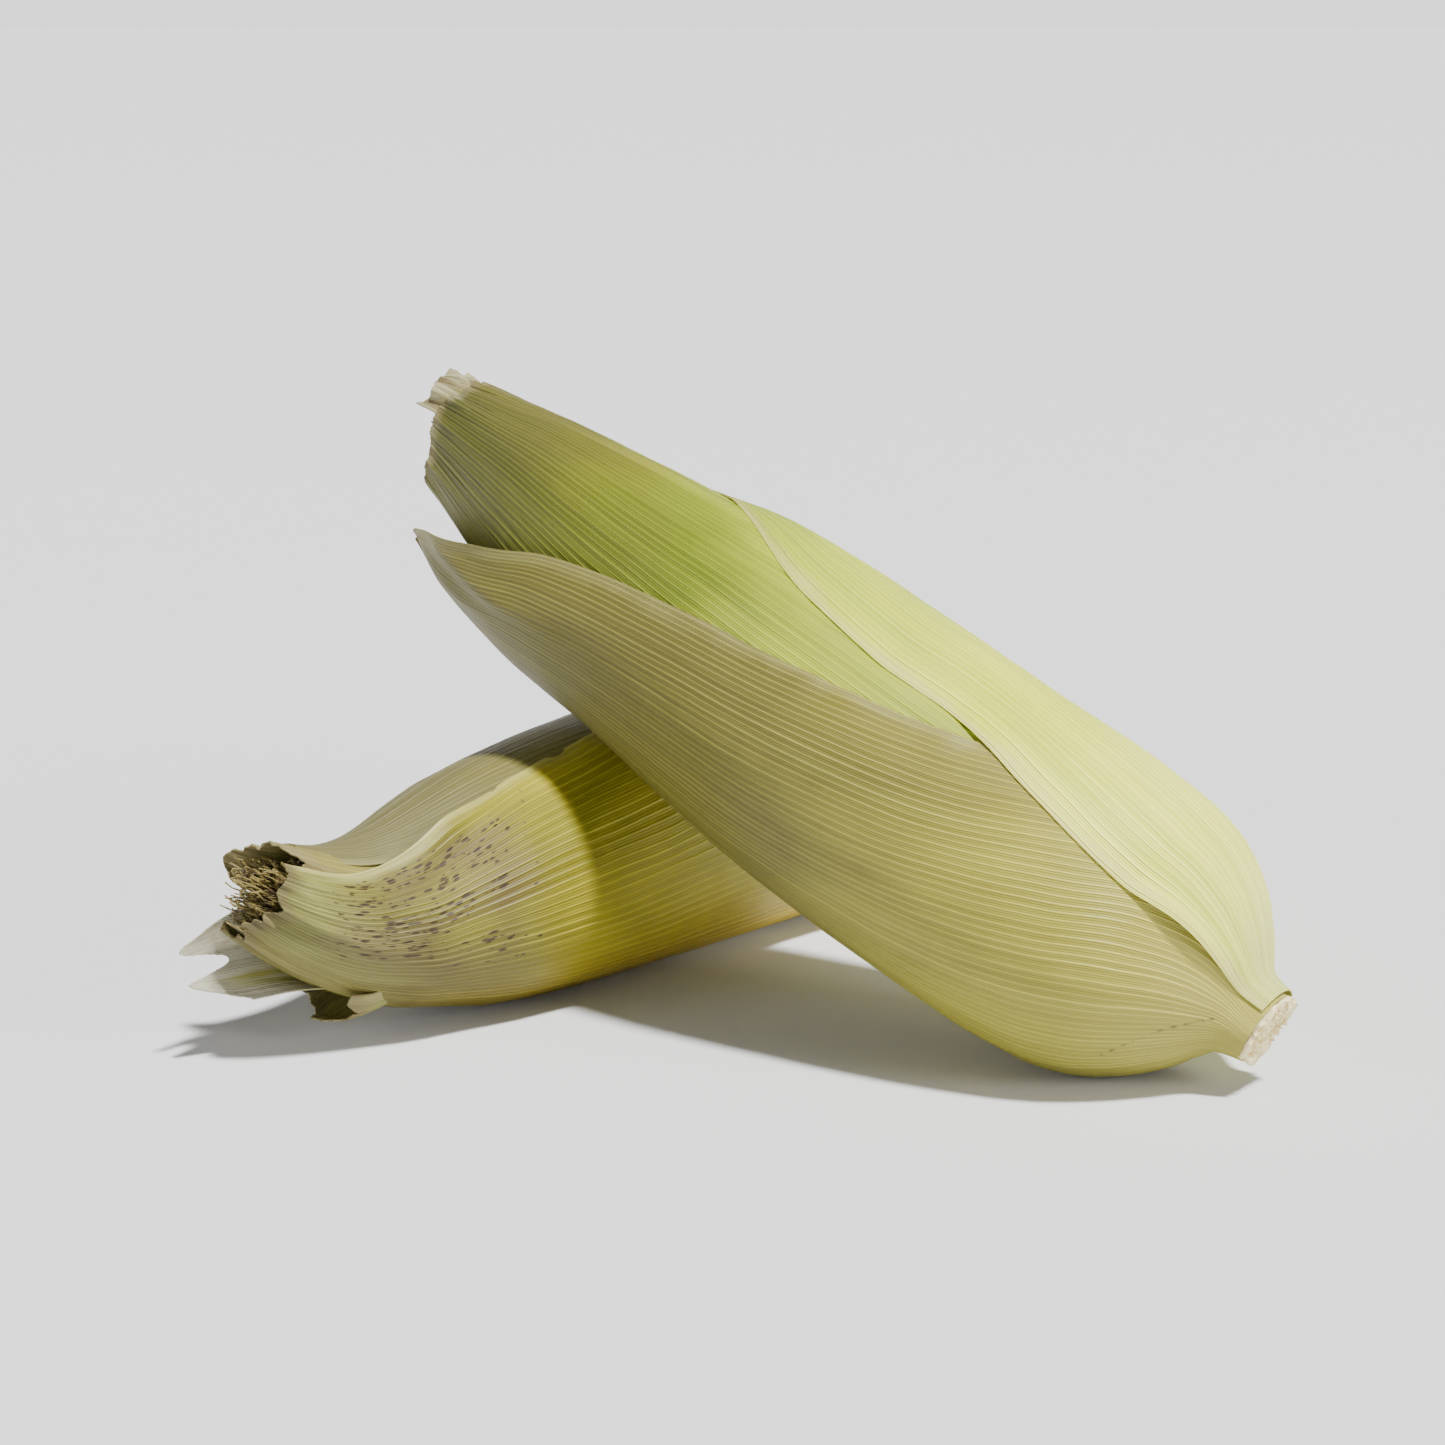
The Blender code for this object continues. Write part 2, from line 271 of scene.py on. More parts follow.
def seedTree():
    # stands a rounded body on every point, turned to the point's outward direction
    tree = newTree("standOnPoints", [
        ("Width", "Float", 0.004), ("Height", "Float", 0.004), ("Length", "Float", 0.004),
        ("Unevenness", "Float", 0.1), ("Seed", "Int", 0)])
    g = Graph(tree)
    ball = g.add("GeometryNodeMeshIcoSphere", Radius=1.0, Subdivisions=2).outputs[0]
    place = g.add("GeometryNodeInputPosition").outputs[0]
    parts = g.add("ShaderNodeSeparateXYZ", i0=g.vector("ABSOLUTE", i0=place))
    squared = [g.sum("POWER", parts.outputs[k], squareness) for k in range(3)]
    joined = g.add("ShaderNodeCombineXYZ", X=squared[0], Y=squared[1], Z=squared[2]).outputs[0]
    shaped = g.vector("MULTIPLY", i0=joined, i1=g.vector("SIGN", i0=place))
    body = g.add("GeometryNodeSetPosition", Geometry=ball, Position=shaped).outputs[0]
    size = g.add("ShaderNodeCombineXYZ", X=g.given["Width"], Y=g.given["Length"],
                 Z=g.given["Height"]).outputs[0]
    sized = g.add("GeometryNodeTransform", Geometry=body, Scale=size).outputs[0]
    facing, ahead = named(g, "facing", "FLOAT_VECTOR"), named(g, "ahead", "FLOAT_VECTOR")
    upright = g.add("FunctionNodeAlignRotationToVector", {"axis": "Z"}, Vector=facing)
    turned = g.add("FunctionNodeAlignRotationToVector", {"axis": "Y", "pivot_axis": "Z"},
                   Rotation=upright.outputs[0], Vector=ahead)
    jitter = g.add("FunctionNodeRandomValue", {"data_type": "FLOAT"}, Seed=g.given["Seed"])
    jitter.inputs[2].default_value = -1.0
    jitter.inputs[3].default_value = 1.0
    scale = g.sum("MULTIPLY", g.sum("MULTIPLY_ADD", jitter.outputs[1], g.given["Unevenness"], 1.0),
                  named(g, "size"))
    placed = g.add("GeometryNodeInstanceOnPoints", Points=g.given["Geometry"], Instance=sized,
                   Rotation=turned.outputs[0], Scale=scale).outputs[0]
    finishTree(g, placed, g.given["Material"])
    return tree


def newThing(name, data):
    thing = bpy.data.objects.new(name, data)
    bpy.context.scene.collection.objects.link(thing)
    return thing


def plainMesh(thing, name):
    # the evaluated thing as an object with a mesh of its own and no modifiers
    bpy.context.view_layer.update()
    graph = bpy.context.evaluated_depsgraph_get()
    mesh = bpy.data.meshes.new_from_object(
        thing.evaluated_get(graph), preserve_all_data_layers=True, depsgraph=graph)
    bpy.data.objects.remove(thing)
    mesh.name = name
    mesh.shade_smooth()
    return newThing(name, mesh)


def objectFrom(name, points, faces=(), **values):
    mesh = bpy.data.meshes.new(name)
    mesh.from_pydata(points.reshape(-1, 3).tolist(), [], list(faces))
    for key, data in values.items():
        data = np.asarray(data, np.float32)
        kind = "FLOAT_VECTOR" if data.ndim == 2 else "FLOAT"
        layer = mesh.attributes.new(key, kind, "POINT")
        layer.data.foreach_set("vector" if data.ndim == 2 else "value", data.ravel())
    return newThing(name, mesh)


def grown(thing, name, tree, values):
    modifier = thing.modifiers.new("nodes", "NODES")
    modifier.node_group = tree
    setInputs(modifier, values)
    return plainMesh(thing, name)


def shaderGroup(name, inputs, outputs):
    tree = bpy.data.node_groups.new(name, "ShaderNodeTree")
    addSockets(tree, "INPUT", inputs)
    addSockets(tree, "OUTPUT", outputs)
    g = Graph(tree)
    g.end = tree.nodes.new("NodeGroupOutput")
    return g


def onLeaf(g, features):
    # where a pattern is read, which runs with the leaf: features are (across it, along it)
    seed = g.given["Seed"] if "Seed" in g.given else 0.0
    return g.add("ShaderNodeCombineXYZ", X=g.sum("MULTIPLY", g.given["Across"], features[0]),
                 Y=g.sum("MULTIPLY", g.given["Along"], features[1]), Z=seed).outputs[0]


leafInputs = [("Across", "Float", 0.0), ("Along", "Float", 0.0)]
veinShape = {
    "drift": (5.0, 4.0), "line": (0.06, 0.26), "faintest": 0.45, "fineFor": 3.0, "fineLine": (0.08, 0.40),
    "fineHeight": 0.28,
}


def veinGroup():
    # parallel veins that follow the leaf, with finer ones between them
    g = shaderGroup("huskVeins", leafInputs + [("Count", "Float", 40.0), ("Wander", "Float", 0.5),
                                               ("Seed", "Float", 0.0)],
                    [("Vein", "Float"), ("Fine", "Float"), ("Height", "Float")])
    drift = g.noise(Vector=onLeaf(g, veinShape["drift"]), Scale=1.0, Detail=2.0)
    place = g.sum("MULTIPLY_ADD", g.sum("SUBTRACT", drift, 0.5), g.given["Wander"],
                  g.sum("MULTIPLY", g.given["Across"], g.given["Count"]))
    distance = g.sum("ABSOLUTE", g.sum("SUBTRACT", g.sum("FRACT", place), 0.5))
    line = g.ramp(distance, *veinShape["line"], 1.0, 0.0)
    index = g.sum("ADD", g.sum("FLOOR", place), g.given["Seed"])
    chance = g.add("ShaderNodeTexWhiteNoise", {"noise_dimensions": "1D"}, W=index).outputs[0]
    vein = g.sum("MULTIPLY", line, g.ramp(chance, 0.0, 1.0, veinShape["faintest"], 1.0))
    finePlace = g.sum("FRACT", g.sum("MULTIPLY", place, veinShape["fineFor"]))
    fineDistance = g.sum("ABSOLUTE", g.sum("SUBTRACT", finePlace, 0.5))
    fine = g.ramp(fineDistance, *veinShape["fineLine"], 1.0, 0.0)
    height = g.sum("MULTIPLY_ADD", fine, veinShape["fineHeight"], vein)
    g.put(g.end, "Vein", vein)
    g.put(g.end, "Fine", fine)
    g.put(g.end, "Height", height)
    return g.tree


streakShape = {
    "streaks": (26.0, 1.6), "patches": (4.0, 5.0), "streakRange": (0.3, 0.7), "patchRange": (0.32, 0.68),
}


def streakGroup():
    # cloudy patches and long streaks that run with the veins
    g = shaderGroup("huskStreaks", leafInputs + [("Seed", "Float", 0.0)],
                    [("Streak", "Float"), ("Patch", "Float")])
    streak = g.noise(Vector=onLeaf(g, streakShape["streaks"]), Scale=1.0, Detail=4.0, Roughness=0.6)
    patch = g.noise(Vector=onLeaf(g, streakShape["patches"]), Scale=1.0, Detail=3.0)
    g.put(g.end, "Streak", g.ramp(streak, *streakShape["streakRange"]))
    g.put(g.end, "Patch", g.ramp(patch, *streakShape["patchRange"]))
    return g.tree


dryShape = {
    "patches": (14.0, 9.0), "spread": (0.4, 1.6), "fibres": (120.0, 7.0), "fibreRange": (0.2, 0.65),
    "faintest": 0.35, "marginFade": 1.4, "endFade": 0.1,
}


def dryGroup():
    # where a leaf has dried: its thin margins and its cut end
    g = shaderGroup("huskDryness", [("Margin", "Float", 0.0), ("End", "Float", 0.0),
                                    ("Margin Width", "Float", 3.0), ("End Width", "Float", 8.0)] + leafInputs,
                    [("Margin", "Float"), ("End", "Float")])
    uneven = g.noise(Vector=onLeaf(g, dryShape["patches"]), Scale=1.0, Detail=3.0)
    spread = g.ramp(uneven, 0.25, 0.75, *dryShape["spread"])
    margin = g.sum("DIVIDE", g.given["Margin"], g.sum("MULTIPLY", g.given["Margin Width"], spread))
    end = g.sum("DIVIDE", g.given["End"], g.sum("MULTIPLY", g.given["End Width"], spread))
    fibres = g.noise(Vector=onLeaf(g, dryShape["fibres"]), Scale=1.0, Detail=2.0)
    fibres = g.ramp(fibres, *dryShape["fibreRange"], dryShape["faintest"], 1.0)
    margin = g.sum("MULTIPLY", g.ramp(margin, 0.0, dryShape["marginFade"], 1.0, 0.0), fibres)
    g.put(g.end, "Margin", margin)
    g.put(g.end, "End", g.ramp(end, dryShape["endFade"], 1.0, 1.0, 0.0))
    return g.tree


speckShape = {
    "cells": (84.0, 96.0), "clouds": 0.12, "cloudRange": (0.34, 0.52), "smallest": 0.12, "growth": 0.9,
}


def speckGroup():
    # small dark specks in loose clusters
    g = shaderGroup("specks", leafInputs + [("Density", "Float", 0.3), ("Seed", "Float", 0.0)],
                    [("Specks", "Float")])
    lookup = onLeaf(g, speckShape["cells"])
    cells = g.add("ShaderNodeTexVoronoi", Vector=lookup, Scale=1.0)
    chance = g.add("ShaderNodeSeparateColor", i0=cells.outputs["Color"]).outputs[0]
    cloud = g.noise(Vector=lookup, Scale=speckShape["clouds"], Detail=3.0)
    density = g.sum("MULTIPLY", g.given["Density"], g.ramp(cloud, *speckShape["cloudRange"]))
    chosen = g.sum("LESS_THAN", chance, density)
    size = g.sum("MULTIPLY_ADD", chance, speckShape["growth"], speckShape["smallest"])
    dot = g.ramp(cells.outputs["Distance"], size, g.sum("MULTIPLY", size, 0.5))
    g.put(g.end, "Specks", g.sum("MULTIPLY", dot, chosen))
    return g.tree


def newMaterial(name, roughness=0.5):
    material = bpy.data.materials.new(name)
    material.use_nodes = True
    g = Graph(material.node_tree)
    g.tree.nodes.remove(g.start)
    g.shader = material.node_tree.nodes["Principled BSDF"]
    g.shader.inputs["Roughness"].default_value = roughness
    return material, g


def value(g, attribute):
    return g.add("ShaderNodeAttribute", {"attribute_name": attribute}).outputs["Fac"]


def colourRamp(g, factor, stops):
    node = g.add("ShaderNodeValToRGB", i0=factor)
    elements = node.color_ramp.elements
    while len(elements) < len(stops):
        elements.new(0.5)
    for element, (position, colour) in zip(elements, stops):
        element.position = position
        element.color = (*colour, 1.0)
    return node.outputs[0]


def mixColour(g, factor, a, b, blend="MIX"):
    node = g.add("ShaderNodeMix", {"data_type": "RGBA", "blend_type": blend}, i0=factor)
    for index, colour in ((6, a), (7, b)):
        if isinstance(colour, bpy.types.NodeSocket):
            g.tree.links.new(colour, node.inputs[index])
        else:
            node.inputs[index].default_value = (*colour, 1.0)
    return node.outputs[2]


def group(g, tree, **inputs):
    node = g.add("ShaderNodeGroup", {"node_tree": tree}, **inputs)
    return node.outputs


groups = {"veins": veinGroup(), "streaks": streakGroup(), "dry": dryGroup(), "specks": speckGroup()}
trees = {"relief": reliefTree(), "strands": strandTree(), "seeds": seedTree()}
print("trees built")


def grain(g, **inputs):
    return g.noise(Vector=g.add("ShaderNodeTexCoord").outputs["Object"], **inputs)


def tinted(g, colour, tint):
    return mixColour(g, 1.0, colour, tint, "MULTIPLY")


def band(g, place, edges):
    # 1 between the two middle edges, falling to 0 at the outer ones
    rising = g.ramp(place, edges[0], edges[1])
    return g.sum("MULTIPLY", rising, g.ramp(place, edges[2], edges[3], 1.0, 0.0))


huskSkin = {
    "veinWander": 1.7, "groundWander": 0.10, "roughness": 0.46, "dryRoughness": 0.25,
    "bumpDistance": 0.0004, "shine": 0.35, "scratch": (0.12, 0.42), "scratchColour": (0.07, 0.045, 0.02),
    "scratchShare": 0.8, "scratchDots": 900.0, "scratchRange": (0.40, 0.55),
}


def huskMaterial(name, look):
    # look: colours along the leaf from its base, its veins, its dry margin and end
    material, g = newMaterial(name, huskSkin["roughness"])
    across, along = value(g, "across"), value(g, "along")
    margin, end = value(g, "margin"), value(g, "end")
    veins = group(g, groups["veins"], Across=across, Along=along, Count=look["veins"],
                  Wander=huskSkin["veinWander"], Seed=look["seed"])
    streaks = group(g, groups["streaks"], Across=across, Along=along, Seed=look["seed"])
    dry = group(g, groups["dry"], Margin=margin, End=end, Margin_Width=look["marginWidth"],
                End_Width=look["endWidth"], Across=across, Along=along)
    patch = g.sum("SUBTRACT", streaks["Patch"], 0.5)
    wobble = g.sum("MULTIPLY_ADD", patch, huskSkin["groundWander"], along)
    ground = colourRamp(g, wobble, look["ground"])
    # the sides ramp tints the ground across the leaf; on the green leaf it is painted light
    ground = tinted(g, ground, colourRamp(g, across, look["sides"]))
    streaked = g.sum("MULTIPLY", streaks["Streak"], look["streaks"])
    ground = mixColour(g, streaked, ground, tinted(g, ground, look["streakTint"]))
    pale = mixColour(g, look["veinShare"], tinted(g, ground, look["crest"]), look["vein"])
    valley = tinted(g, ground, look["valley"])
    ground = mixColour(g, g.sum("MULTIPLY", veins["Fine"], look["fineVeins"]), valley, pale)
    ground = mixColour(g, g.sum("MULTIPLY", veins["Vein"], look["mainVeins"]), ground, pale)
    dryMargin = g.sum("MULTIPLY", dry["Margin"], look["marginDry"])
    ground = mixColour(g, dryMargin, ground, look["marginColour"])
    dryEnd = mixColour(g, streaks["Streak"], look["endColour"], look["endDark"])
    ground = mixColour(g, g.sum("MULTIPLY", dry["End"], look["endDry"]), ground, dryEnd)
    if "specks" in look:
        spots = look["specks"]
        region = g.sum("MULTIPLY", band(g, across, spots["across"]), band(g, along, spots["along"]))
        tint = g.sum("MULTIPLY", g.sum("MULTIPLY", region, streaks["Patch"]), spots["tintAmount"])
        ground = mixColour(g, tint, ground, spots["tint"])
        dots = group(g, groups["specks"], Across=across, Along=along,
                     Density=g.sum("MULTIPLY", region, spots["density"]), Seed=look["seed"])
        ground = mixColour(g, dots["Specks"], ground, spots["colour"])
    dots = grain(g, Scale=huskSkin["scratchDots"])
    scratch = g.sum("MULTIPLY", g.ramp(value(g, "mark"), *huskSkin["scratch"], 1.0, 0.0),
                    g.ramp(dots, *huskSkin["scratchRange"]))
    scratch = g.sum("MULTIPLY", scratch, huskSkin["scratchShare"])
    g.put(g.shader, "Base Color", mixColour(g, scratch, ground, huskSkin["scratchColour"]))
    rough = g.sum("MULTIPLY_ADD", dry["End"], huskSkin["dryRoughness"], huskSkin["roughness"])
    g.put(g.shader, "Roughness", rough)
    bump = g.add("ShaderNodeBump", Strength=look["bump"], Distance=huskSkin["bumpDistance"],
                 Height=veins["Height"])
    g.put(g.shader, "Normal", bump.outputs[0])
    g.shader.inputs["Specular IOR Level"].default_value = huskSkin["shine"]
    return material


plain = [(0.0, (1.0, 1.0, 1.0)), (1.0, (1.0, 1.0, 1.0))]


def huskLook(**changes):
    look = {
        "veins": 44.0, "seed": 1.0, "marginWidth": 3.0, "marginDry": 0.6, "endWidth": 9.0, "endDry": 0.8,
        "ground": [(0.0, (0.36, 0.34, 0.08)), (0.5, (0.27, 0.25, 0.055)), (1.0, (0.20, 0.18, 0.06))],
        "sides": plain, "streaks": 0.5, "streakTint": (0.80, 0.76, 0.60), "vein": (0.52, 0.49, 0.17),
        "mainVeins": 0.75, "fineVeins": 0.35, "marginColour": (0.34, 0.31, 0.13),
        "endColour": (0.30, 0.26, 0.12), "endDark": (0.13, 0.09, 0.035), "ribHeight": 0.20,
        "valley": (0.80, 0.79, 0.68), "crest": (1.34, 1.34, 1.5), "veinShare": 0.25,
        "bump": 0.55,
    }
    look.update(changes)
    return look


def huskLeaf(**changes):
    # plies, lap and under place it among the others; course is (distance along, middle angle, half width
    # in degrees); off is (distance along, millimetres off its neighbours); hug is (distance along,
    # millimetres its two margins sink); a curl is (from, to, millimetres, side); a flare is (from, to,
    # angle, width, millimetres); a crease is (from, angle, to, angle, width, height); marks is the path
    # of a scratch
    leaf = {
        "plies": 0, "lap": 0, "under": 0, "fineness": (150, 100), "ribs": 36, "off": [(0, 0.0), (240, 0.0)],
        "hug": [(0, 0.3, 0.3), (240, 0.3, 0.3)], "hugWidth": 7.0, "frill": 0.4, "ragged": 0.0,
        "slant": (0, 0), "lobes": 0.0, "curls": [], "flares": [], "creases": [], "marks": [], "follow": 1.0,
    }
    leaf.update(changes)
    return leaf


nearLeaves = {
    "near_husk_over": huskLeaf(
        plies=-1, slot="husk_pale", fineness=(240, 150), ribs=34, seed=11,
        course=[(1.6, -64, 110), (19, -58, 103), (32, -54, 101), (53, -55, 95), (77, -56, 86),
                (99, -51, 80), (122, -50, 72), (136, -53, 63), (149, -58, 51), (162, -62, 33),
                (176, -66, 14), (188, -68, 1)],
        hug=[(5, 0.2, 0.2), (32, 0.3, 0.3), (66, 1.2, 0.4), (72, 1.2, 0.9), (80, 1.2, 1.75),
             (150, 1.4, 1.8), (188, 1.2, 1.2)],
        hugWidth=15.0, frill=0.2, curls=[(7, 32, 2.2, 1)],
        look=huskLook(
            veins=62.0, seed=3.0,
            ground=[(0.0, (0.92, 0.91, 0.32)), (0.10, (0.92, 0.92, 0.16)), (0.30, (0.82, 0.83, 0.03)),
                    (0.45, (0.80, 0.82, 0.008)), (0.70, (0.50, 0.60, 0.006)), (1.0, (0.36, 0.42, 0.02))],
            valley=(0.72, 0.76, 0.42), crest=(1.25, 1.24, 1.9), vein=(0.98, 0.97, 0.30),
            mainVeins=1.0, fineVeins=0.4, bump=0.9, streaks=0.8, streakTint=(0.62, 0.68, 0.30),
            marginColour=(0.62, 0.56, 0.17), marginWidth=3.2, marginDry=0.8, endWidth=3.0, endDry=0.4)),
    "near_husk_front": huskLeaf(
        slot="husk_dull", fineness=(260, 160), ribs=40, seed=12,
        course=[(0.9, 92, 100), (9, 84, 124), (24, 92, 112), (40, 102, 97), (75, 116, 80),
                (110, 125, 75), (131, 129, 73), (152, 134, 70), (171, 139, 63), (184, 144, 53),
                (197, 149, 43), (207, 152, 33), (214, 154, 21), (218, 155, 6)],
        off=[(9, 0.0), (130, 0.0), (150, 1.2), (165, 3.8), (180, 6.6), (197, 8.6), (218, 9.6)],
        hug=[(9, 0.2, 0.2), (60, 0.3, 0.3), (75, 0.6, 0.5), (128, 0.6, 0.6), (150, 1.6, 0.8),
             (170, 2.8, 1.0), (218, 2.0, 1.0)],
        hugWidth=12.0, frill=0.5, follow=0.0,
        creases=[(158, 98, 208, 120, 5.0, 1.3), (176, 118, 212, 138, 4.0, 0.8)],
        marks=[(21, 128), (18, 117), (14, 104), (10, 92), (7, 82)],
        look=huskLook(
            veins=64.0, seed=5.0, ribHeight=0.13, streaks=0.8,
            ground=[(0.0, (0.46, 0.42, 0.09)), (0.18, (0.35, 0.325, 0.036)), (0.45, (0.135, 0.124, 0.016)),
                    (0.72, (0.110, 0.099, 0.015)), (0.88, (0.118, 0.108, 0.019)), (1.0, (0.18, 0.16, 0.04))],
            valley=(0.74, 0.73, 0.60), crest=(1.48, 1.47, 1.5), vein=(0.40, 0.375, 0.09),
            sides=[(0.0, (1.05, 1.02, 0.95)), (0.10, (0.94, 0.92, 0.88)), (0.22, (1.0, 1.0, 1.0)),
                   (1.0, (0.86, 0.86, 0.80))],
            marginColour=(0.31, 0.29, 0.10), mainVeins=1.0, marginDry=0.45, streakTint=(0.74, 0.70, 0.52))),
    "near_husk_green": huskLeaf(
        plies=1, lap=-1, under=1, slot="husk_green", fineness=(240, 150), ribs=44, seed=13,
        course=[(5, 35, 108), (60, 35, 108), (130, 35, 108), (190, 35, 108), (212, 38, 104),
                (229, 40, 100)],
        frill=0.3, ragged=1.6, slant=(9, 0),
        look=huskLook(
            veins=70.0, seed=7.0, ribHeight=0.32,
            ground=[(0.0, (0.48, 0.50, 0.12)), (0.42, (0.36, 0.42, 0.012)), (0.62, (0.13, 0.172, 0.003)),
                    (0.76, (0.115, 0.124, 0.008)), (0.88, (0.070, 0.068, 0.014)),
                    (1.0, (0.066, 0.062, 0.022))],
            # painted light: these factors lighten the green leaf up to about two and a half times towards
            # both margins, a painted highlight along the ear's upper side and painted light lifting the
            # shaded underside of its neck
            sides=[(0.0, (2.6, 2.4, 3.0)), (0.30, (2.3, 2.1, 2.6)), (0.42, (1.45, 1.40, 1.6)),
                   (0.55, (1.0, 1.0, 1.0)), (0.72, (1.0, 1.0, 1.0)), (0.88, (2.3, 2.2, 1.4))],
            streaks=0.9, streakTint=(0.58, 0.62, 0.30), endColour=(0.27, 0.25, 0.12),
            vein=(0.32, 0.34, 0.035), mainVeins=0.9, fineVeins=0.4, endWidth=4.0)),
    "near_husk_back": huskLeaf(
        plies=1, lap=-1, under=1, slot="husk_dull", seed=14,
        course=[(5, 215, 108), (60, 215, 108), (130, 215, 108), (190, 215, 106), (208, 215, 98),
                (224, 214, 88)],
        frill=0.3, ragged=1.6, slant=(7, -20),
        look=huskLook(
            veins=64.0, seed=9.0, endWidth=6.0,
            ground=[(0.0, (0.36, 0.34, 0.08)), (0.6, (0.27, 0.25, 0.05)), (1.0, (0.31, 0.29, 0.09))])),
    "near_husk_inner_a": huskLeaf(
        plies=3.2, lap=-1, under=3.2, slot="husk_pale", ribs=34, seed=15,
        course=[(20, 100, 106), (60, 100, 106), (130, 100, 106), (200, 100, 104), (222, 100, 96),
                (231, 104, 84)],
        ragged=1.8, slant=(10, 0),
        look=huskLook(veins=54.0, seed=11.0, endWidth=14.0, endDry=0.95)),
    "near_husk_inner_b": huskLeaf(
        plies=3.2, lap=-1, under=3.2, slot="husk_pale", ribs=34, seed=16,
        course=[(20, 280, 106), (60, 280, 106), (130, 280, 106), (200, 290, 104), (222, 316, 98),
                (237, 335, 88)],
        ragged=1.3, frill=1.4, slant=(3, -30), flares=[(226, 237, -10, 80, 2.6)],
        look=huskLook(veins=54.0, seed=13.0, endWidth=14.0, endDry=0.95, endColour=(0.40, 0.37, 0.21))),
}
farLeaves = {
    "far_husk_front": huskLeaf(
        slot="husk_veined", fineness=(260, 160), ribs=38, seed=21,
        course=[(5, 92, 118), (34, 94, 106), (74, 98, 104), (114, 106, 101), (154, 112, 96), (176, 114, 93),
                (195, 117, 88), (209, 120, 84), (218, 126, 84), (228, 132, 86), (240, 136, 84)],
        off=[(5, 0.0), (212, 0.0), (240, 0.6)],
        hug=[(5, 0.3, 0.3), (180, 0.6, 0.4), (243, 0.2, 0.4)],
        frill=0.5, ragged=1.2, slant=(12, 150), curls=[(180, 214, 3.4, 0)],
        marks=[(174, 24), (176, 34), (179, 44), (181.4, 54)],
        look=huskLook(
            veins=46.0, seed=15.0, streaks=0.8,
            ground=[(0.0, (0.46, 0.43, 0.10)), (0.52, (0.56, 0.49, 0.045)), (0.72, (0.21, 0.19, 0.006)),
                    (0.86, (0.105, 0.092, 0.008)), (0.95, (0.22, 0.23, 0.075)), (1.0, (0.13, 0.13, 0.04))],
            sides=[(0.0, (1.15, 1.15, 1.0)), (0.45, (1.0, 1.0, 0.9)), (0.66, (0.92, 0.76, 0.62)),
                   (1.0, (0.95, 0.88, 0.75))],
            vein=(0.36, 0.34, 0.06), mainVeins=1.0, marginColour=(0.44, 0.40, 0.13), marginDry=0.8,
            marginWidth=2.0, endWidth=4.0, endColour=(0.20, 0.17, 0.07), endDark=(0.07, 0.05, 0.02),
            specks={"across": (0.02, 0.08, 0.38, 0.58), "along": (0.72, 0.80, 0.93, 0.98), "density": 0.8,
                    "colour": (0.03, 0.014, 0.002), "tint": (0.085, 0.045, 0.018), "tintAmount": 0.75})),
    "far_husk_top": huskLeaf(
        plies=1, under=1, slot="husk_dull", fineness=(220, 130), ribs=38, seed=22,
        course=[(9, -62, 122), (34, -60, 112), (74, -60, 108), (134, -52, 100), (174, -48, 92),
                (198, -46, 86), (212, -48, 82), (227, -56, 78)],
        ragged=1.6, slant=(4, 20),
        look=huskLook(
            veins=56.0, seed=17.0, endWidth=6.0, endColour=(0.19, 0.17, 0.06), endDark=(0.08, 0.06, 0.02),
            ground=[(0.0, (0.34, 0.31, 0.09)), (0.5, (0.24, 0.215, 0.05)), (0.8, (0.135, 0.122, 0.04)),
                    (1.0, (0.14, 0.125, 0.045))],
            vein=(0.33, 0.30, 0.10))),
    "far_husk_under": huskLeaf(
        plies=2, lap=-1, under=0, slot="husk_pale", seed=23,
        course=[(14, 190, 104), (54, 190, 104), (124, 190, 104), (189, 190, 98), (206, 190, 60),
                (219, 186, 38)],
        ragged=3.2, flares=[(202, 217, 188, 36, 5.5)], follow=0.3, frill=1.6,
        look=huskLook(veins=52.0, seed=19.0, endWidth=7.0, endColour=(0.24, 0.21, 0.09),
                      ground=[(0.0, (0.4, 0.38, 0.12)), (1.0, (0.26, 0.25, 0.07))])),
    "far_husk_upper": huskLeaf(
        plies=2, lap=-1, under=2, slot="husk_pale", seed=24,
        course=[(14, 10, 104), (54, 10, 104), (124, 10, 104), (189, 10, 98), (210, 6, 86), (222, 0, 78),
                (231, -10, 68)],
        ragged=2.0, frill=0.9, slant=(3, -70), flares=[(222, 231, -66, 22, 4.5), (212, 226, 16, 20, 1.4)],
        look=huskLook(
            veins=52.0, seed=21.0, endWidth=6.0, endColour=(0.30, 0.26, 0.12),
            ground=[(0.0, (0.36, 0.34, 0.12)), (0.8, (0.32, 0.28, 0.05)), (1.0, (0.20, 0.17, 0.04))])),
    "far_husk_inner_a": huskLeaf(
        plies=4.2, lap=-1, under=4.2, slot="husk_pale", seed=25,
        course=[(20, 60, 104), (54, 60, 104), (124, 60, 104), (199, 60, 100), (218, 66, 98), (229, 76, 92)],
        ragged=2.2, frill=0.8, slant=(5, 140),
        look=huskLook(veins=52.0, seed=23.0, endWidth=16.0, endDry=0.95)),
    "far_husk_inner_b": huskLeaf(
        plies=4.2, lap=-1, under=4.2, slot="husk_pale", seed=26,
        course=[(20, 240, 104), (54, 240, 104), (124, 240, 104), (199, 240, 92), (220, 248, 56),
                (232, 254, 42), (246, 258, 30)],
        lobes=13.0, ragged=1.0, frill=1.2, off=[(20, 0.0), (222, 0.0), (236, 2.0), (246, 1.0)], follow=0.0,
        look=huskLook(
            veins=40.0, seed=25.0, endWidth=30.0, endDry=0.9, endColour=(0.44, 0.42, 0.33),
            endDark=(0.30, 0.28, 0.20), ground=[(0.0, (0.4, 0.38, 0.12)), (1.0, (0.34, 0.32, 0.09))])),
}
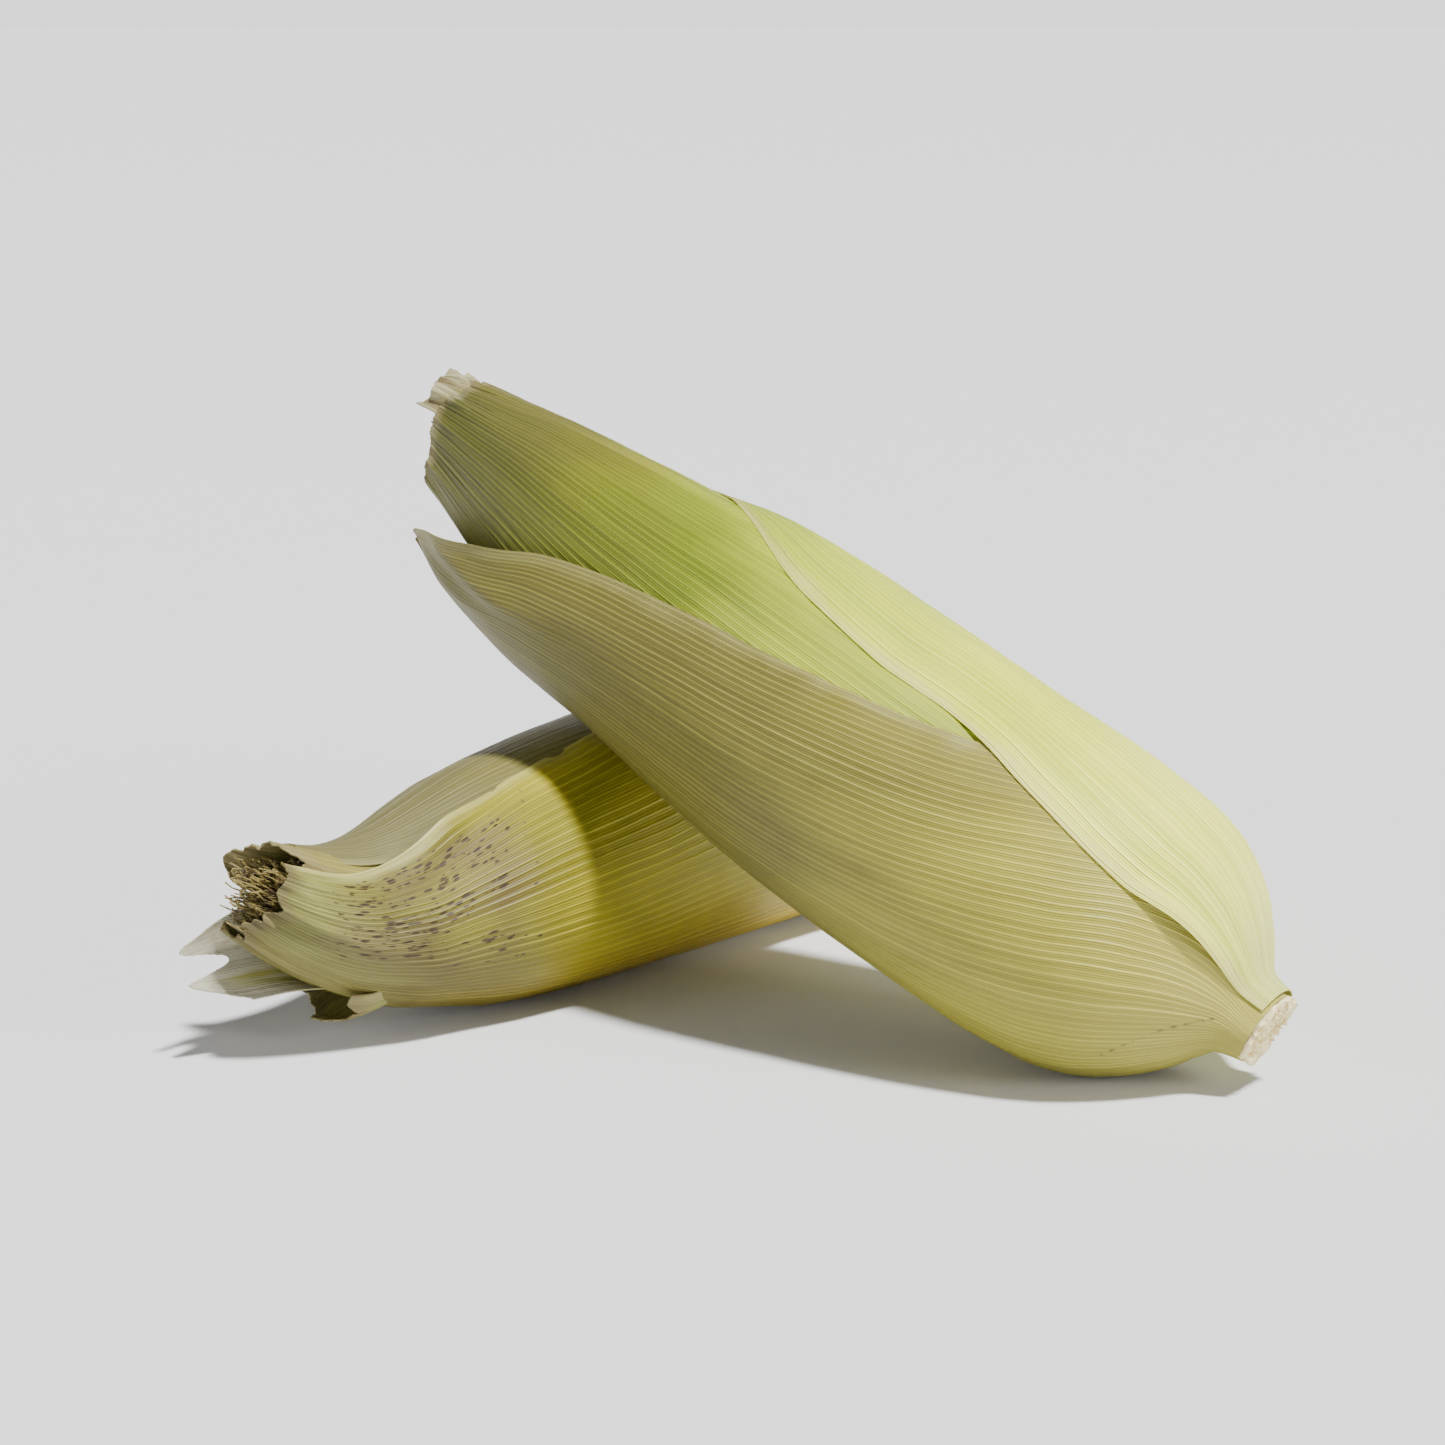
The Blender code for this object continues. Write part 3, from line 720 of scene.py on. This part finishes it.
# tears are (share of the raggedness, waves across the leaf), frills are (share, millimetres long)
leafBody = {
    "thickness": 0.30, "dentHeight": 0.40, "dentSize": 45.0, "wander": 1.1, "keenEdge": 70.0,
    "tears": [(1.0, 9), (0.22, 31)], "tearFrom": 0.75, "lobes": 2, "lapShare": 0.6, "least": 0.3,
    "frills": [(1.0, 11), (0.5, 5)], "frillWidth": 9, "frillAlong": (30, 90), "innerFrill": (24, 4),
    "otherSide": 40, "curlWidth": 6,
}


def pathDistance(path, s, angle, radius):
    # millimetres from each point of a leaf to a path along it, up to 5
    nearest = np.full_like(s, 5.0)
    for (s1, a1), (s2, a2) in zip(path, path[1:]):
        scale = np.radians(1.0) * radius
        x, y = s - s1, (angle - a1) * scale
        dx, dy = s2 - s1, (a2 - a1) * scale
        share = np.clip((x * dx + y * dy) / (dx**2 + dy**2), 0, 1)
        nearest = np.minimum(nearest, np.hypot(x - share * dx, y - share * dy))
    return nearest


def leafSheet(ear, name, leaf):
    across, along = leaf["fineness"]
    course, hug = np.array(leaf["course"], float), np.array(leaf["hug"], float)
    first, last = course[0, 0], course[-1, 0]
    u = np.linspace(0, 1, across + 1)[None, :]
    v = np.linspace(0, 1, along + 1)[:, None]
    endAngle = course[-1, 1] + course[-1, 2] * (2 * u - 1)
    rags = sum(share * wave(leaf["seed"] + k, u * count)
               for k, (share, count) in enumerate(leafBody["tears"]))
    tear = (leaf["ragged"] * rags
            - leaf["slant"][0] * (0.5 - 0.5 * np.cos(np.radians(endAngle - leaf["slant"][1])))
            - leaf["lobes"] * (0.5 + 0.5 * np.cos(2 * leafBody["lobes"] * math.pi * u)))
    s = first + (last - first) * v + tear * smoothStep(leafBody["tearFrom"], 1.0, v)
    centre = curveThrough(course[:, [0, 1]], s)
    half = curveThrough(course[:, [0, 2]], s)
    turn = half * (2 * u - 1)
    angle = centre + turn
    margin = np.minimum(u, 1 - u) * 2 * np.radians(half) * curveThrough(ear["outline"], s)
    second = u > 0.5
    lapped = abs(leaf["lap"]) * leafBody["lapShare"] + leaf["lap"] * turn / halfTurn
    depth = ply * (leaf["plies"] + lapped) - curveThrough(leaf["off"], s)
    sink = np.where(second, curveThrough(hug[:, [0, 2]], s), curveThrough(hug[:, [0, 1]], s))
    depth = depth + sink * (1 - smoothStep(0, leaf["hugWidth"], margin))
    # only the outer leaves have room for a frill along their whole length
    innerFrom, innerTo = leafBody["innerFrill"]
    frillAlong = leafBody["frillAlong"] if leaf["plies"] < 1 else (last - innerFrom, last - innerTo)
    frill = sum(share * wave(leaf["seed"] + 2 + k, s / size + leafBody["otherSide"] * second)
                for k, (share, size) in enumerate(leafBody["frills"]))
    frill = frill * (1 - smoothStep(0, leafBody["frillWidth"], margin)) * smoothStep(*frillAlong, s)
    depth = depth - leaf["frill"] * frill
    for low, high, lift, side in leaf["curls"]:
        hump = np.sin(math.pi * np.clip((s - low) / (high - low), 0, 1)) ** 2
        atMargin = (1 - smoothStep(0, leafBody["curlWidth"], margin)) * (second == bool(side))
        depth = depth - lift * hump * atMargin
    for low, high, middle, width, lift in leaf["flares"]:
        apart = (angle - middle + halfTurn) % (2 * halfTurn) - halfTurn
        depth = depth - lift * smoothStep(low, high, s) * np.exp(-((apart / width) ** 2))
    for low, lowAngle, high, highAngle, width, height in leaf["creases"]:
        share = np.clip((s - low) / (high - low), 0, 1)
        apart = angle - lowAngle - (highAngle - lowAngle) * share
        depth = depth - height * np.sin(math.pi * share) * np.exp(-((apart / width) ** 2))
    points = inOutline(ear, s, angle, depth, leaf["follow"])
    above = np.maximum(ply * (leaf["under"] + lapped), leafBody["least"]) * mm
    points[..., 2] = np.maximum(points[..., 2], above)
    rows, columns = np.meshgrid(np.arange(along), np.arange(across), indexing="ij")
    corner = (rows * (across + 1) + columns).ravel()
    faces = np.stack([corner, corner + across + 1, corner + across + 2, corner + 1], 1)
    ones = np.ones_like(s)
    mark = pathDistance(leaf["marks"], s, angle, curveThrough(ear["outline"], s))
    sheet = objectFrom(
        name + "_sheet", points, faces.tolist(), across=(u * ones).ravel(), along=(v * ones).ravel(),
        margin=margin.ravel(), end=(last + tear - s).ravel(), mark=mark.ravel())
    modifier = sheet.modifiers.new("relief", "NODES")
    modifier.node_group = trees["relief"]
    setInputs(modifier, {
        "Ribs": float(leaf["ribs"]), "Rib Height": leaf["look"]["ribHeight"] * mm,
        "Wander": leafBody["wander"], "Dent Height": leafBody["dentHeight"] * mm,
        "Dent Size": leafBody["dentSize"], "Seed": float(leaf["seed"]),
        "Material": huskMaterial(name + "_leaf", leaf["look"])})
    body = sheet.modifiers.new("body", "SOLIDIFY")
    body.thickness = leafBody["thickness"] * mm
    body.offset = -1.0
    made = plainMesh(sheet, name + "_leaf")
    made.data.set_sharp_from_angle(angle=math.radians(leafBody["keenEdge"]))
    keep(made, name)


def keep(piece, node):
    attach(piece, "root")
    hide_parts(node)


for ear, leaves in ((nearEar, nearLeaves), (farEar, farLeaves)):
    for leafName, leafValues in leaves.items():
        leafSheet(ear, leafName, leafValues)
        print("leaf", leafName)


silk = {
    "strands": 320, "spread": 6.0, "waviness": 7.0, "thickness": 0.17, "guidePoints": 26, "seed": 4,
    "roughness": 0.6, "grain": 260.0, "colours": [(0.35, (0.07, 0.045, 0.014)), (0.62, (0.27, 0.21, 0.06))],
    "near": (206, 227), "far": (200, 233),
}


def grainMaterial(name, values):
    material, g = newMaterial(name, values["roughness"])
    noise = grain(g, Scale=values["grain"], Detail=2.0)
    g.put(g.shader, "Base Color", colourRamp(g, noise, values["colours"]))
    return material


def silkTuft(ear, node, reach):
    along = np.linspace(reach[0], reach[1], silk["guidePoints"])
    guide = onEar(ear, along, np.zeros_like(along), np.zeros_like(along), 1.0)
    curve = bpy.data.curves.new(node + "_guide", "CURVE")
    curve.dimensions = "3D"
    line = curve.splines.new("POLY")
    line.points.add(len(guide) - 1)
    line.points.foreach_set("co", np.concatenate([guide, np.ones((len(guide), 1))], 1).ravel())
    made = grown(newThing(node + "_guide", curve), node + "_tuft", trees["strands"], {
        "Strands": silk["strands"], "Spread": silk["spread"] * mm, "Waviness": silk["waviness"] * mm,
        "Thickness": silk["thickness"] * mm, "Seed": silk["seed"], "Material": silkPaint})
    keep(made, node)


silkPaint = grainMaterial("driedSilk", silk)
silkTuft(nearEar, "near_silk", silk["near"])
silkTuft(farEar, "far_silk", silk["far"])
print("silk grown")


cob = {
    "rows": 16, "kernel": (2.4, 2.9, 2.0), "uneven": 0.06, "pitch": 1.7, "clear": (5, 3), "rings": 60,
    "sides": 48, "seat": 0.6, "largest": 1.6, "seed": 2, "roughness": 0.32, "grain": 120.0,
    "colours": [(0.3, (0.80, 0.58, 0.14)), (0.7, (0.92, 0.76, 0.32))],
    "near": [(18.5, 7.0), (22, 13.0), (30, 17.6), (45, 20.8), (80, 22.0), (120, 21.0), (150, 17.8),
             (180, 12.8), (198, 8.0), (205, 4.5)],
    "far": [(18.5, 7.0), (22, 11.0), (30, 15.6), (45, 19.0), (75, 20.0), (120, 18.6), (154, 16.0),
            (178, 12.0), (194, 7.0), (201, 4.0)],
}


def turnedPoints(ear, profile, low, high):
    along = np.linspace(low, high, cob["rings"])[:, None]
    angle = np.linspace(0, 360, cob["sides"], endpoint=False)[None, :]
    return onEar(ear, along + 0 * angle, angle + 0 * along, curveThrough(profile, along) + 0 * angle)


def cobPiece(ear, node, profile):
    low, high = profile[0][0], profile[-1][0]
    width, length, height = cob["kernel"]
    pitch = length * cob["pitch"]
    places, facing, ahead, sizes = [], [], [], []
    for row in range(cob["rows"]):
        along = np.arange(low + cob["clear"][0] + (row % 2) * pitch / 2, high - cob["clear"][1], pitch)
        radius = curveThrough(profile, along) - cob["seat"]
        angle = np.full_like(along, 360.0 * row / cob["rows"])
        base = onEar(ear, along, angle, radius)
        out = onEar(ear, along, angle, radius + 1.0)
        nextOne = onEar(ear, along + 1.0, angle, radius)
        places.append(base)
        facing.append((out - base) / mm)
        ahead.append((nextOne - base) / mm)
        sizes.append((radius + cob["seat"]) * math.pi / cob["rows"] / width)
    cloud = objectFrom(node + "_places", np.concatenate(places), facing=np.concatenate(facing),
                       ahead=np.concatenate(ahead), size=np.minimum(np.concatenate(sizes), cob["largest"]))
    seeds = grown(cloud, node + "_kernels", trees["seeds"], {
        "Width": width * mm, "Length": length * mm, "Height": height * mm, "Unevenness": cob["uneven"],
        "Seed": cob["seed"], "Material": cobPaint})
    core = closedTube(node + "_core", turnedPoints(ear, profile, low, high))
    core.data.materials.append(cobPaint)
    keep(join([seeds, core]), node)


def closedTube(name, points):
    rings, sides = points.shape[:2]
    faces = []
    for j in range(rings - 1):
        for i in range(sides):
            k = (i + 1) % sides
            faces.append((j * sides + i, (j + 1) * sides + i, (j + 1) * sides + k, j * sides + k))
    faces.append(tuple(range(sides)))
    faces.append(tuple(reversed(range((rings - 1) * sides, rings * sides))))
    made = objectFrom(name, points, faces)
    made.data.shade_smooth()
    return made


def join(things):
    with bpy.context.temp_override(active_object=things[0], selected_editable_objects=things):
        bpy.ops.object.join()
    return things[0]


cobPaint = grainMaterial("kernels", cob)
cobPiece(nearEar, "near_cob", cob["near"])
cobPiece(farEar, "far_cob", cob["far"])
print("cobs built")


# pith is (millimetres high, waves inward, degrees long, seed)
shank = {
    "sides": 96, "rings": 60, "capRings": 13, "grooves": 22, "grooveDepth": 0.35, "grooveFade": (17, 9),
    "grooveSeed": 31, "bundleSeed": 8, "fibreSeed": 5,
    "rim": [(0.5, 14, 35), (0.35, 5, 36)], "rimFade": (2.5, 0), "slope": [(0.7, 24, 37)],
    "chips": [(0.225, 8, 33)], "pith": (0.27, 6, 40, 34), "pithFade": (0, 0.3), "hollow": 0.35,
    "bundles": 130, "bundle": 0.28, "bundleAt": 0.3, "bundleReach": 0.9, "bundleHeight": 0.5,
    "bundleUneven": 0.4, "bundlePaint": 0.7,
    "cutFade": (0.9, 0.3), "grain": 420.0, "roughness": 0.8, "bump": 0.5, "bumpDistance": 0.0004,
    "bark": [(0.3, (0.50, 0.40, 0.18)), (0.7, (0.80, 0.68, 0.34))],
    # the cut face's lightest colour is partly the pith's own pale cream and partly a painted highlight,
    # pushed near white to stand in for light falling on it
    "cutFace": [(0.3, (0.74, 0.58, 0.28)), (0.7, (0.97, 0.88, 0.54))],
    "near": [(0, 7.5), (1.2, 7.5), (4, 7.0), (10, 7.2), (17.5, 11.5)],
    "far": [(0, 7.6), (1.2, 7.8), (4, 7.1), (10, 7.1), (17.5, 11.0)],
}


def shankMaterial():
    material, g = newMaterial("cutShank", shank["roughness"])
    noise = grain(g, Scale=shank["grain"], Detail=3.0)
    bark, cutFace = colourRamp(g, noise, shank["bark"]), colourRamp(g, noise, shank["cutFace"])
    g.put(g.shader, "Base Color", mixColour(g, value(g, "cut"), bark, cutFace))
    bump = g.add("ShaderNodeBump", Strength=shank["bump"], Distance=shank["bumpDistance"], Height=noise)
    g.put(g.shader, "Normal", bump.outputs[0])
    return material


def roughLine(key, angle):
    # a rough line round the stem; each of its waves is (millimetres high, degrees long, seed)
    return sum(height * wave(seed, angle / width) for height, width, seed in shank[key])


def cutLayer(thing, values):
    layer = thing.data.attributes.new("cut", "FLOAT", "POINT")
    layer.data.foreach_set("value", values.astype(np.float32).ravel())


def shankPiece(ear, node, profile):
    sides, rings = shank["sides"], shank["rings"]
    angle = np.linspace(0, 360, sides, endpoint=False)[None, :]
    along = np.linspace(0, profile[-1][0], rings)[:, None]
    groove = wave(shank["grooveSeed"], angle / 360 * shank["grooves"]) * np.ones_like(along)
    slope = roughLine("slope", angle)
    radius = (curveThrough(profile, along)
              + shank["grooveDepth"] * groove * smoothStep(*shank["grooveFade"], along)
              + roughLine("rim", angle) * smoothStep(*shank["rimFade"], along))
    along = along + slope * smoothStep(*shank["rimFade"], along)
    side = onEar(ear, along + 0 * angle, angle + 0 * along, radius)
    inward = np.linspace(1, 0, shank["capRings"] + 2)[1:-1, None]
    height, ringWaves, width, seed = shank["pith"]
    pith = height * wave(seed, inward * ringWaves + angle / width) * smoothStep(*shank["pithFade"], inward)
    capAlong = shank["hollow"] + (roughLine("chips", angle) + slope) * inward + pith
    cap = onEar(ear, capAlong, angle + 0 * capAlong, inward * radius[:1])
    stem = closedTube(node + "_stem", np.concatenate([cap[::-1], side]))
    cutLayer(stem, np.concatenate([np.ones((len(cap), sides)), smoothStep(*shank["cutFade"], along)]))
    stem.data.materials.append(shankPaint)
    chooser = np.random.default_rng(shank["bundleSeed"])
    away = np.sqrt(chooser.uniform(0, shank["bundleReach"], shank["bundles"])) * profile[0][1]
    turns = chooser.uniform(0, 360, shank["bundles"])
    spots = onEar(ear, np.full_like(away, shank["bundleAt"]), turns, away)
    facing = -np.repeat(earTurn(ear)[:, 0][None, :], len(away), 0)
    ahead = np.repeat(earTurn(ear)[:, 2][None, :], len(away), 0)
    cloud = objectFrom(node + "_places", spots, facing=facing, ahead=ahead, size=np.ones_like(away))
    fibres = grown(cloud, node + "_fibres", trees["seeds"], {
        "Width": shank["bundle"] * mm, "Length": shank["bundle"] * mm, "Height": shank["bundleHeight"] * mm,
        "Unevenness": shank["bundleUneven"], "Seed": shank["fibreSeed"], "Material": shankPaint})
    cutLayer(fibres, np.full(len(fibres.data.vertices), shank["bundlePaint"]))
    keep(join([stem, fibres]), node)


shankPaint = shankMaterial()
shankPiece(nearEar, "near_shank", shank["near"])
shankPiece(farEar, "far_shank", shank["far"])
print("shanks built")


studio = {
    "target": (-3.7, -4.4, 55.0), "elevation": 12.4, "distance": 700.0, "lens": 80.0, "sensor": 36.0,
    "floor": (0.64, 0.64, 0.64), "floorReach": 60.0, "floorRoughness": 0.9,
    "air": 0.17, "horizon": 1.62, "haze": (0.17, 0.36),
    "key": (0.28, -0.31, 0.90), "keyStrength": 8.4, "keyAngle": 6.0, "softness": 1.2,
    "fill": (3.0, -1.8, 1.2), "fillPower": 68.0, "bounce": (-3.0, -1.9, 1.2), "bouncePower": 22.0,
}


def lookFrom(thing, place, target):
    away = (np.array(place) - np.array(target)).tolist()
    thing.location = place
    thing.rotation_euler = Vector(away).to_track_quat("Z", "Y").to_euler()
    return thing


corners = np.array([(-1, -1, 0), (1, -1, 0), (1, 1, 0), (-1, 1, 0)]) * studio["floorReach"]
floor = objectFrom("floor", corners, [(0, 1, 2, 3)])
floorPaint, floorGraph = newMaterial("paleFloor", studio["floorRoughness"])
floorGraph.shader.inputs["Base Color"].default_value = (*studio["floor"], 1.0)
floorGraph.shader.inputs["Specular IOR Level"].default_value = 0.0
floor.data.materials.append(floorPaint)

target = np.array(studio["target"]) * mm
lamp = bpy.data.lights.new("key", "SUN")
lamp.energy = studio["keyStrength"]
lamp.angle = math.radians(studio["keyAngle"])
lookFrom(newThing("key", lamp), studio["key"], (0, 0, 0))
for lampName in ("fill", "bounce"):
    lamp = bpy.data.lights.new(lampName, "AREA")
    lamp.energy = studio[lampName + "Power"]
    lamp.size = studio["softness"]
    lookFrom(newThing(lampName, lamp), studio[lampName], target)

world = bpy.data.worlds.new("studioAir")
world.use_nodes = True
sky = Graph(world.node_tree)
sky.tree.nodes.remove(sky.start)
height = sky.add("ShaderNodeSeparateXYZ", i0=sky.add("ShaderNodeTexCoord").outputs["Generated"]).outputs[2]
background = world.node_tree.nodes["Background"]
background.inputs["Color"].default_value = (1.0, 1.0, 1.0, 1.0)
sky.put(background, "Strength", sky.ramp(height, *studio["haze"], studio["horizon"], studio["air"]))
bpy.context.scene.world = world

tilt = math.radians(studio["elevation"])
back = np.array([0.0, -math.cos(tilt), math.sin(tilt)])
eye = bpy.data.cameras.new("camera")
eye.lens = studio["lens"]
eye.sensor_width = studio["sensor"]
away = (target + back * studio["distance"] * mm).tolist()
bpy.context.scene.camera = lookFrom(newThing("camera", eye), away, target)
print("stage set")

bpy.context.view_layer.update()
